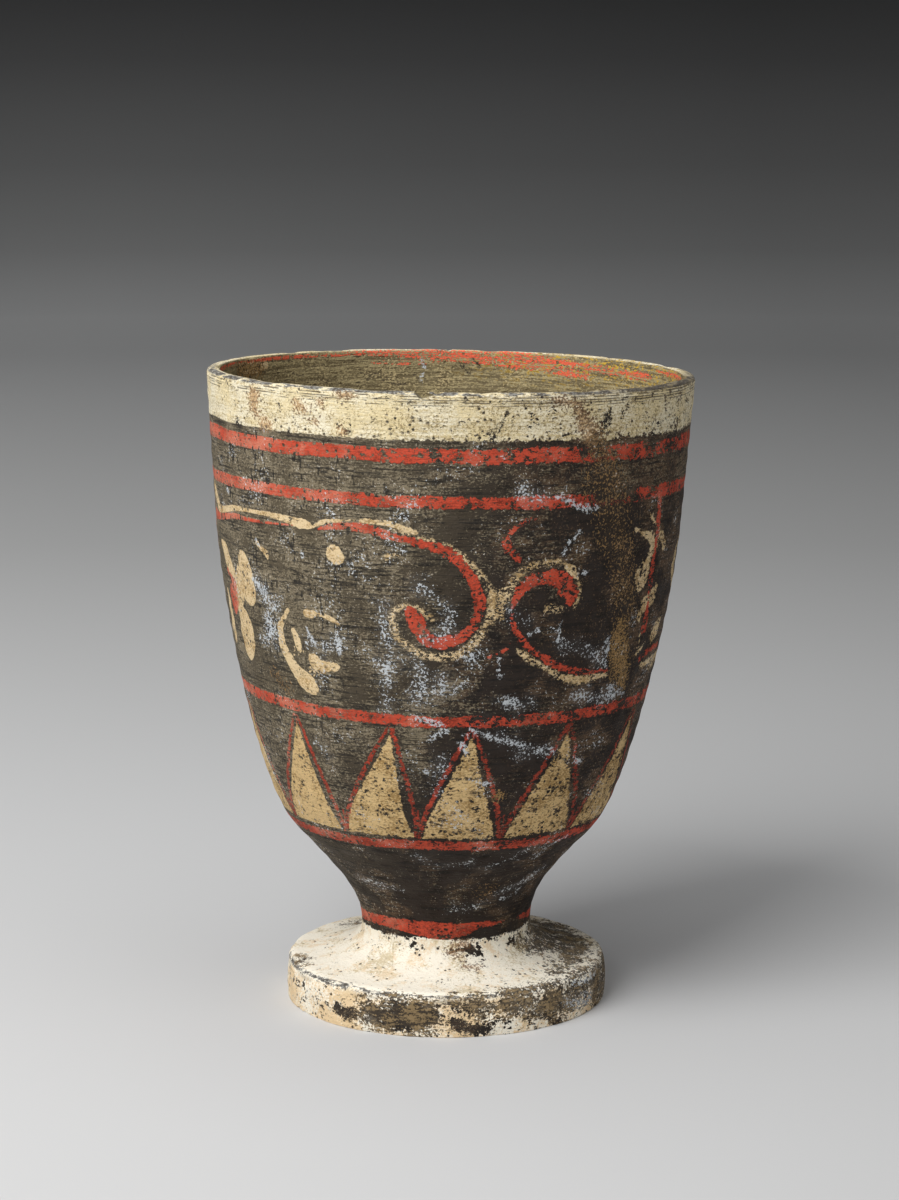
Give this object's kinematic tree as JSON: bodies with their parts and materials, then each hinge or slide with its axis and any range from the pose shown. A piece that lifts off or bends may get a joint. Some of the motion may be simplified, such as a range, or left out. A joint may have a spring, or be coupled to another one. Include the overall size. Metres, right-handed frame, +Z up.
{
  "type": "painted earthenware goblet",
  "caption": "Deep flaring cup on a short solid stem and disc foot, thrown as one piece, painted in cream and red on dark grey clay.",
  "frame": {"origin": "middle of the foot's flat underside, where the goblet stands", "axes": "+Z up along the stem, -Y towards the viewer of the picture, +X to its right, the side the cup leans to"},
  "size_m": [0.1054, 0.1054, 0.1399],
  "materials": {
    "painted_earthenware": "matt, worn cold-painted slip"
  },
  "bodies": {
    "root": {"goblet": "painted_earthenware"}
  },
  "joints": []
}
